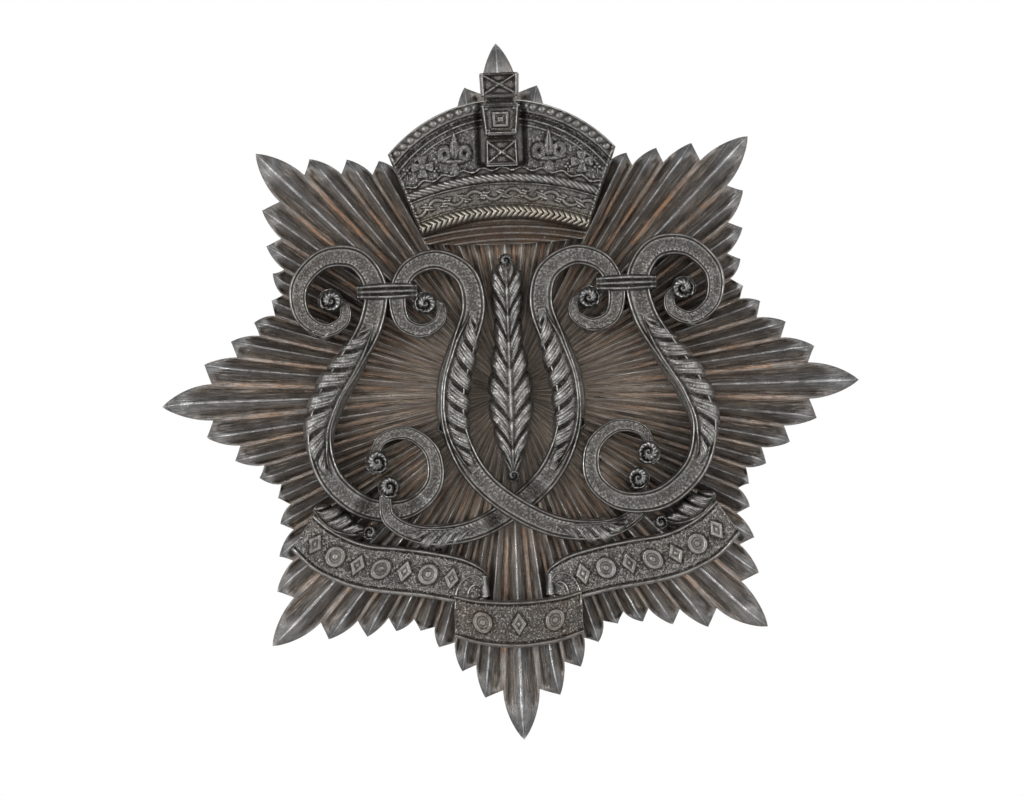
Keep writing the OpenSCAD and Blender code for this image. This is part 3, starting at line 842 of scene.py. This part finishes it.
def trefoil(dx, dz):
    """Three round lobes on a stem."""
    h = 0
    for ax, az in ((0, 0.42), (-0.4, -0.12), (0.4, -0.12)):
        h = np.maximum(h, dome(((dx - ax) / 0.34) ** 2 + ((dz - az) / 0.34) ** 2, 0.34))
    return np.maximum(h, dome((dx / 0.13) ** 2 + ((dz + 0.75) / 0.65) ** 2, 0.22))


def lay_cable(c, h, t, foot, pitch, lean, height):
    """Lays a twisted cable over the relief h; t is -1 and 1 at its edges."""
    strand = np.abs(np.sin(math.pi * (c.along / pitch + lean * t)))
    cable = foot + dome(t * t, height) * (0.62 + 0.38 * strand ** 0.6)
    return np.where(np.abs(t) < 1, np.maximum(h, cable), h)


def running_leaf(c):
    """Relief of the jewelled band: a wavy stem with leaves in its bends."""
    stem = np.abs(c.rho - BAND - 0.42 * np.sin(TAU * c.along / 3.3))
    leaf = np.abs(c.rho - BAND + 0.3 * np.sin(TAU * c.along / 3.3)) / 0.46 \
        + np.abs(np.mod(c.along / 1.65 + 0.5, 1) - 0.5) * 1.65 / 0.7
    veined = dome(leaf ** 2, 0.34) * (0.8 + 0.2 * np.sin(c.rho * 22 + c.along * 7))
    return np.maximum(dome((stem / 0.2) ** 2, 0.22), veined)


def round_top(c, h):
    """Swags with a pearl at each join, then the arches' ribs, the beaded rim and its edge."""
    swag = np.abs(c.rho - 24.22 - 0.16 * np.cos(TAU * c.along / 1.55))
    pearl = (np.mod(c.along, 1.55) - 0.775) ** 2 + (c.rho - 24.12) ** 2
    h = h + 0.2 * bump(swag, 0, 0.12) + dome(pearl / 0.04, 0.22)
    rim = smooth(11.95, 12.1, c.ra)
    h = h + 0.3 * rim * (c.rho > 24) - 0.1 * bump(c.ra, 11.75, 0.1)
    h = h + 0.24 * bump(c.ra, 11.45, 0.12) * (c.rho > 24) + 0.14 * bump(c.ra, 10.95, 0.09) * (c.rho > 24.3)
    bead = (np.mod(c.arc, 0.8) - 0.4) ** 2 + (c.ra - 12.55) ** 2
    h = np.where(bead < 0.109, np.maximum(h, 1.74 + dome(bead / 0.109, 0.24)), h)
    h = h + 0.1 * bump(c.ra, 12.98, 0.08)
    return h - 0.45 * smooth(12.98, TOP_R, c.ra)


def ornaments(c, h):
    """Fleurs, crosses and buds that stand on the upper cable, the same on both sides."""
    for hand in (-1, 1):
        for ornament, x0, z0, size in ((fleur, 4.05, 20.65, 1.16), (cross, 6.85, 19.5, 1),
                                       (trefoil, 5.62, 19.15, 0.45), (trefoil, 8.15, 19.05, 0.5)):
            relief = ornament((c.x - hand * x0) / size, (c.z - z0) / size)
            h = np.where(relief > 0.03, np.maximum(h, FIELD + relief), h)
    return h


def crown():
    """The crown's plate: one sheet of relief, bent to a radius and closed by walls and a flat back."""
    p = Part("crown_cast", 51)
    c = crown_sheet()
    # its regions: the concave underside, the band, the lining, and the furrow beside the front arch
    under = 1 - smooth(19.85, 20, c.rho)
    banded = smooth(21.15, 21.25, c.rho) * (1 - smooth(22.9, 23, c.rho))
    lining = smooth(24.1, 24.3, c.rho) * smooth(12.05, 11.95, c.ra)
    furrow = smooth(19.1, 19.7, c.z) * (1 - smooth(1.75, 2.4, np.abs(c.x)))

    lens = np.clip((c.rho - 17.6) / 2.3 - 0.25 * (c.x / 7.5) ** 2, 0, 1)
    h = CROWN_GROUND - under * (0.58 - 0.07 * np.cos(TAU * lens * 4.2) + 0.25 * smooth(19.9, 17.5, c.rho))
    t = (c.rho - LOWER_CABLE) / 0.56
    h = lay_cable(c, h, t, FIELD, LOWER_PITCH, LOWER_LEAN * np.sign(t), 0.6)
    strand = np.abs(np.sin(math.pi * (c.along / LOWER_PITCH + LOWER_LEAN * np.abs(t))))
    # the lower cable's strand crests: rubbed, and brightened further as a painted highlight
    worn = smooth(0.7, 1, strand) * bump(t, 0, 0.85)
    leaf = running_leaf(c)
    h = h + banded * (leaf - 0.04)
    for edge in (21.16, 22.95):
        h = h + 0.12 * bump(c.rho, edge, 0.08)
    h = lay_cable(c, h, (c.rho - UPPER_CABLE) / 0.38, 1.48, 0.5, 0.9, 0.48)
    h = ornaments(c, round_top(c, h))
    h = h + 0.2 * bump(c.side, 0.24, 0.15) * (c.rho > 20) - 0.35 * (1 - smooth(0, 0.12, c.side))
    h = h - 0.55 * furrow + p.rng.normal(0, 0.006, h.shape)

    bent = CROWN_ROUND - np.sqrt(CROWN_ROUND ** 2 - c.x * c.x)
    P = surface(c.x, SEAT + np.maximum(h - bent + 0.1, 0.15), c.z)
    # ridge and rib: a painted warm highlight in a gilt colour on the lower cable's crests, and a rubbed
    # upper cable; gap: painted shade on the round top's outer edge, and a plain darkening over the
    # underside
    p.grid(P, ridge=np.maximum(0.62 * worn, 0.3 * bump(c.rho, UPPER_CABLE, 0.28)),
           rib=smooth(22, 21.2, c.rho) * (1 - under),
           gap=np.maximum(0.85 * smooth(12.97, 13.04, c.ra) * (c.rho > 24), 0.32 * under),
           grit=np.maximum(0.85 * lining * (1 - furrow), 0.35 * banded * (leaf < 0.03)),
           tone=0.85 * under + 0.3 * (1 - under) * smooth(24.5, 21, c.rho) + 0.12)
    loop = np.vstack([P[0], P[1:, -1], P[-1, -2::-1], P[-2:0:-1, 0]])
    low = loop.copy()
    low[:, 1] = -SEAT - 0.01
    p.grid(np.stack([loop, low]), close_v=True)
    p.add(low, [list(range(len(low)))])
    cast(p, "crown", weld=0.002, sharp=70, edge_gain=0.7)


def front_arch():
    """The bar that stands proud of the crown: boxes with a cross, a square and a cross."""
    p = Part("crown_front_arch_cast", 61)
    z = np.arange(19.3, 27.31, 0.055)[:, None]
    a = row(-1, 1, 61)
    heights = [19.3, 19.7, 21.45, 21.65, 21.85, 22.05, 24.45, 24.65, 25.15, 25.35, 27.15, 27.3]
    widths = [2.75, 2.9, 2.8, 2.45, 2.4, 2.9, 3.45, 2.7, 2.4, 3.25, 3.4, 3.2]
    w = np.interp(z, heights, widths)
    neck = bump(z, 21.75, 0.16) + bump(z, 24.92, 0.24)
    h = 5.55 - SEAT - 0.45 * neck
    for lo, hi, square in ((19.4, 21.55, False), (22, 24.55, True), (25.3, 27.25, False)):
        dz = (z - (lo + hi) / 2) / ((hi - lo) / 2)
        inside = smooth(1.02, 0.94, np.abs(dz))
        edging = np.maximum(bump(np.abs(dz), 0.9, 0.085), bump(np.abs(a), 0.86, 0.085))
        if square:
            d = np.maximum(np.abs(a) / 0.5, np.abs(dz) / 0.58)
            fill = 0.95 * smooth(1, 0.8, d) - 0.45 * smooth(0.62, 0.5, d) + 0.45 * smooth(0.35, 0.2, d)
            gem = dome((np.abs(a) - 0.7) ** 2 / 0.012 + (np.abs(dz) - 0.72) ** 2 / 0.012, 0.2)
        else:
            fill = 0.85 * np.maximum(bump(np.abs(a - dz), 0, 0.17), bump(np.abs(a + dz), 0, 0.17))
            gem = dome((a / 0.3) ** 2 + (dz / 0.3) ** 2, 0.26)
        h = h + inside * (-0.26 + 0.34 * np.maximum(edging, fill) + gem)
    h = h - 0.35 * smooth(0.93, 1, np.abs(a)) + p.rng.normal(0, 0.01, h.shape)
    p.strip(surface(a * w / 2, SEAT + h - 0.35 * (a * w / 3.4) ** 2, z), 4, grit=0.3, tone=0.2)
    cast(p, "crown_front_arch", edge_gain=0.7)


crown()
front_arch()


# ---- ribbon and leaf sprays
def raise_mark(kind, h, solid, along, across):
    """Adds a lozenge or a roundel to the relief h, and its area to solid."""
    if kind == "lozenge":
        d = np.abs(along) / 0.74 + np.abs(across) / 1.12
        h = h + 0.4 * smooth(1, 0.8, d) - 0.12 * smooth(0.52, 0.4, d) + 0.12 * smooth(0.26, 0.14, d)
        return h, np.maximum(solid, smooth(1.02, 0.92, d))
    d = np.hypot(along, across * 0.92)
    h = h + 0.4 * smooth(0.92, 0.78, d) - 0.16 * smooth(0.58, 0.46, d) + 0.18 * smooth(0.3, 0.16, d)
    return h, np.maximum(solid, smooth(0.95, 0.86, d))


def panel(p, top_line, low_line, height, marks, wave, base, film=0.4):
    """A matted ribbon panel with raised edge lines and a row of raised marks."""
    n = 300
    top, top_length = even_curve(top_line, n)
    low, low_length = even_curve(low_line, n)
    length = (top_length + low_length) / 2
    t = row(-1, 1, 81)
    f = column(0, 1, n)
    width = np.linalg.norm(top - low, axis=1)[:, None]
    across = t * width / 2
    e = np.abs(t)
    h = height + wave(f)
    h = h + 0.15 * bump(e, 0.89, 0.06) - 0.06 * bump(e, 0.78, 0.05) - 0.25 * smooth(0.965, 1, e)
    h = h - 0.06 * smooth(0.84, 0.8, e) + p.rng.normal(0, 0.008, h.shape)
    solid = np.zeros_like(h)
    for share, kind in marks:
        h, solid = raise_mark(kind, h, solid, (f - share) * length, across)
    g = (t + 1) / 2
    x = low[:, None, 0] * (1 - g) + top[:, None, 0] * g
    z = low[:, None, 1] * (1 - g) + top[:, None, 1] * g
    # A film over 0.4 also darkens the whole panel through gap, less on the raised marks.
    p.strip(surface(x, h, z), base, grit=smooth(0.84, 0.78, e) * (1 - 0.85 * solid),
            ridge=0.3 * solid, tone=film, gap=(film - 0.4) * (1 - 0.5 * solid))


def ribbon_wing(side):
    """A wing, drawn as the right one, with a rolled inner end where the ribbon turns behind itself."""
    flip = side == "left"
    p = Part("ribbon_%s_cast" % side, 71 + flip)
    top = [(2.55, -15.6), (3.1, -14.9), (4.6, -14.05), (7.2, -13.4), (9.9, -12.95), (12.4, -12.65),
           (14.3, -12), (16, -11), (17.2, -9.9)]
    low = [(2.6, -17.6), (4.2, -18.1), (5.8, -17.85), (8.2, -17.35), (11.2, -16.95), (13.4, -16.55),
           (15.3, -15.9), (17.5, -14.7), (19.25, -12.9)]
    marks = [(0.2 + 0.119 * i, "lozenge" if i % 2 == 0 else "roundel") for i in range(7)]

    def wave(f):
        return (-0.42 * smooth(0.09, 0, f) + 0.1 * np.sin(f * 7.5 + 0.5) + 0.22 * smooth(0.86, 0.97, f)
                - 0.15 * smooth(0.97, 1, f))
    panel(p, top, low, SEAT + 1, marks, wave, SEAT - 0.05)
    z = column(-17.5, -15.75, 26)
    a = row(0, math.pi, 15)
    x = 2.85 - 0.42 * np.cos(a) + 0.05 * np.sin(z * 3)
    p.strip(surface(x, SEAT + 0.25 + 0.92 * np.sin(a), z), SEAT - 0.05, grit=0.6)
    cast(p, "ribbon_" + side, flip)


def turned_end(p, hand):
    """The end of the centre panel: it rises behind the panel's corner, then rolls inwards."""
    n = 80
    line, _ = even_curve([(4.85, -18.4), (4.8, -17.2), (4.35, -16.35), (3.6, -16.05), (3.05, -16.45)], n)
    f = column(0, 1, n)
    t = row(-1, 1, 25)
    e = np.abs(t)
    w = np.interp(f, [0, 0.45, 0.8, 1], [0.7, 0.62, 0.5, 0.3])
    nx = np.gradient(line[:, 1])[:, None]
    nz = -np.gradient(line[:, 0])[:, None]
    size = np.hypot(nx, nz)
    h = SEAT + 1.55 - 0.45 * smooth(0, 0.45, f) + 0.3 * smooth(0.55, 0.85, f)
    h = h + 0.12 * bump(e, 0.8, 0.12) - 0.22 * smooth(0.88, 1, e)
    h = h + p.rng.normal(0, 0.008, h.shape)
    x = hand * (line[:, :1] + nx / size * w * t)
    z = line[:, 1:] + nz / size * w * t
    p.strip(surface(x, h, z), SEAT + 0.4, grit=smooth(0.75, 0.6, e), tone=0.22)


def hidden_block(p, hand):
    """The block under each end of the centre panel, which stands on the star."""
    along = column(0, 1, 12)
    t = row(-1, 1, 9)
    p.strip(surface(hand * (3 + 2.1 * along), SEAT + 1.15, -19.6 + t), SEAT)


def ribbon_middle():
    """The ribbon's centre panel, in front of the wings."""
    p = Part("ribbon_centre_cast", 81)
    top = [(-5.45, -17.2), (-3.2, -17.7), (0, -17.9), (3.2, -17.7), (5.45, -17.2)]
    low = [(-5.5, -20.9), (-3, -21.65), (0, -21.95), (3, -21.65), (5.5, -20.9)]
    marks = [(0.22, "roundel"), (0.5, "lozenge"), (0.78, "roundel")]

    def wave(f):
        return 0.12 * np.sin(math.pi * f) - 0.38 * smooth(0.07, 0, f) - 0.38 * smooth(0.93, 1, f)
    panel(p, top, low, SEAT + 1.85, marks, wave, SEAT + 1, film=0.75)
    for hand in (-1, 1):
        turned_end(p, hand)
        hidden_block(p, hand)
    cast(p, "ribbon_centre")


def leaf_spray(side):
    """The leaf between a ribbon wing and its scroll, drawn as the right one."""
    flip = side == "left"
    p = Part("leaf_spray_%s_cast" % side, 91 + flip)
    line = [(17.15, -9.35, 1), (15.6, -10.55, 1), (14.2, -11.3, 1), (12.7, -11.65, 1)]
    widths = [0.5, 1.9, 2.5, 2.4, 1.9, 1.2, 0.6]
    acanthus(p, line, 0, 3, widths, 0.85, wrap=0.45, period=1.35, rise=0.45, side=-1, base=SEAT - 0.02)
    p.curl(12.5, -11.62, 0.66, 0.5, 1, top=1.35)
    cast(p, "leaf_spray_" + side, flip)


for side in ("right", "left"):
    ribbon_wing(side)
    leaf_spray(side)
ribbon_middle()


# ---- back: fixings, lugs and split pin
def carried(node, mat, rounding):
    """Keeps a CAD node as it is: only a material, and a small rounding (mm) of its edges."""
    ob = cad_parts[node]
    for holder in ob.material_slots:
        holder.material = mat
    m = ob.modifiers.new("rounding", "BEVEL")
    m.width = rounding * MM
    m.segments = 2
    m.limit_method = "ANGLE"
    m.angle_limit = math.radians(35)


def solder(side):
    """The fillet of solder round the foot of a lug."""
    p = Part("lug_solder_" + side, 101)
    x = -11 if side == "left" else 11
    rings = [(1, -1), (2.55, -1), (2.6, -0.97), (2.42, -0.78), (2.1, -0.62), (1.85, -0.45),
             (1.72, -0.22), (1.62, -0.05), (1.4, -0.02)]
    p.lathe(rings, at=(x, 0), seg=48, wobble=0.035)
    p.make(solder_mat, "silver_lug", [], sharp=60)


def split_pin():
    """Half-round wire folded into a ring at one end, with its two flat sides together."""
    p = Part("split_pin_wire", 111)
    r = 0.6       # of the wire
    gap = 0.07    # half the space between the legs
    ring_x = -15.1
    ring_r = 1.06
    pin_y = 6.3
    half_line = [(x, gap) for x in (14.9, 8, 0, -8, -12.4)]
    half_line += [(-13.4, 0.16), (-14, 0.52), (-14.55, 0.9)]
    half_line += [(ring_x, ring_r), (ring_x - 0.75, 0.75), (ring_x - ring_r, 0)]
    line, _ = even_curve(half_line, 300)
    whole = np.vstack([line, (line * [1, -1])[-2::-1]])
    d = np.gradient(whole, axis=0)
    d /= np.linalg.norm(d, axis=1)[:, None]
    normal = np.stack([d[:, 1], -d[:, 0]], -1)
    a = np.linspace(0, math.pi, 13)[:-1]
    profile = [(-0.92 * r, 0), (0.92 * r, 0)]
    profile += [(r * math.cos(t), 0.06 + (r - 0.06) * math.sin(t)) for t in a]
    count = np.arange(len(whole))
    taper = 1 - 0.35 * smooth(1, 0, np.minimum(count, count[::-1]) / 4)
    P = np.zeros((len(whole), len(profile), 3))
    for j, (back, out) in enumerate(profile):
        q = whole + normal * (out * taper)[:, None]
        P[:, j] = surface(q[:, 0], -(pin_y + back * taper), q[:, 1])
    p.grid(P, close_v=True, cap=True)
    p.make(pin_mat, "brass_pin", ["cotter_pin"], body="split_pin", sharp=50)


for node in ("crown_studs", "scroll_studs", "ribbon_studs", "stud_washers", "stud_nuts"):
    carried(node, brass_mat, 0.05)
for node in ("lug_left", "lug_right"):
    carried(node, lug_mat, 0.12)
solder("left")
solder("right")
split_pin()

# ---- camera, lights, floor
# In metres. The camera looks straight at the face from CAMERA_AWAY, turned by ROLL degrees. The picture
# takes in VIEW_WIDTH at a distance VIEW_DEPTH in front of the star's back.
CAMERA_AWAY = 0.6
VIEW_DEPTH = 0.001
VIEW_WIDTH = 0.08805
SENSOR = 36
ROLL = 2.1
AIM_RIGHT = 0.00008607
AIM_DOWN = 0.00055946


def place_camera():
    cam = bpy.data.cameras.new("camera")
    cam.sensor_width = SENSOR
    cam.lens = SENSOR * (CAMERA_AWAY - VIEW_DEPTH) / VIEW_WIDTH
    cam.clip_end = 20
    ob = put_in_scene("camera", cam)
    roll = math.radians(ROLL)
    right = Vector((math.cos(roll), 0, -math.sin(roll)))
    up = Vector((math.sin(roll), 0, math.cos(roll)))
    back = Vector((0, -1, 0))
    m = Matrix((right, up, back)).transposed().to_4x4()
    m.translation = right * AIM_RIGHT - up * AIM_DOWN + back * CAMERA_AWAY
    ob.matrix_world = m
    bpy.context.scene.camera = ob


def area_light(name, place, size, power):
    """A square soft light that faces the badge."""
    light = bpy.data.lights.new(name, "AREA")
    light.shape = "SQUARE"
    light.size = size
    light.energy = power
    ob = put_in_scene(name, light)
    ob.location = place
    ob.rotation_euler = (-Vector(place)).to_track_quat("-Z", "Y").to_euler()


def surroundings():
    """White for the camera. The metal mirrors a sky that is pale below and grey above."""
    world = bpy.data.worlds.new("studio")
    bpy.context.scene.world = world
    n = Nodes(world)
    apart = n.new("ShaderNodeSeparateXYZ")
    n.put(n.new("ShaderNodeTexCoord").outputs["Generated"], apart.inputs[0])
    sky = n.mix(n.ramp(apart.outputs["Z"], -0.45, 0.75), (1.06, 1.06, 1.06), (0.34, 0.34, 0.35))
    either = n.new("ShaderNodeMixShader")
    n.put(n.new("ShaderNodeLightPath").outputs["Is Camera Ray"], either.inputs[0])
    for i, colour, strength in ((1, sky, 1.15), (2, (1, 1, 1), 1)):
        glow = n.new("ShaderNodeBackground")
        n.put(colour, glow.inputs["Color"])
        n.put(strength, glow.inputs["Strength"])
        n.put(glow.outputs[0], either.inputs[i])
    n.put(either.outputs[0], n.new("ShaderNodeOutputWorld").inputs["Surface"])
    bpy.context.scene.view_settings.view_transform = "Standard"


def pale_floor():
    """A large floor well below the badge."""
    me = bpy.data.meshes.new("floor")
    bm = bmesh.new()
    bmesh.ops.create_grid(bm, x_segments=8, y_segments=8, size=1.6)
    bm.to_mesh(me)
    bm.free()
    mat = bpy.data.materials.new("floor_pale")
    mat.use_nodes = True
    shader = mat.node_tree.nodes["Principled BSDF"]
    shader.inputs["Base Color"].default_value = (0.86, 0.86, 0.86, 1)
    shader.inputs["Roughness"].default_value = 0.8
    me.materials.append(mat)
    floor = put_in_scene("floor", me)
    floor.location = (0, 0, -0.45)


place_camera()
surroundings()
area_light("key", (-0.55, -0.42, 0.08), 0.4, 1.9)
area_light("fill", (0.55, -0.4, 0.2), 0.3, 1.2)
area_light("rear", (0.1, 0.65, 0.45), 0.5, 1.4)
pale_floor()
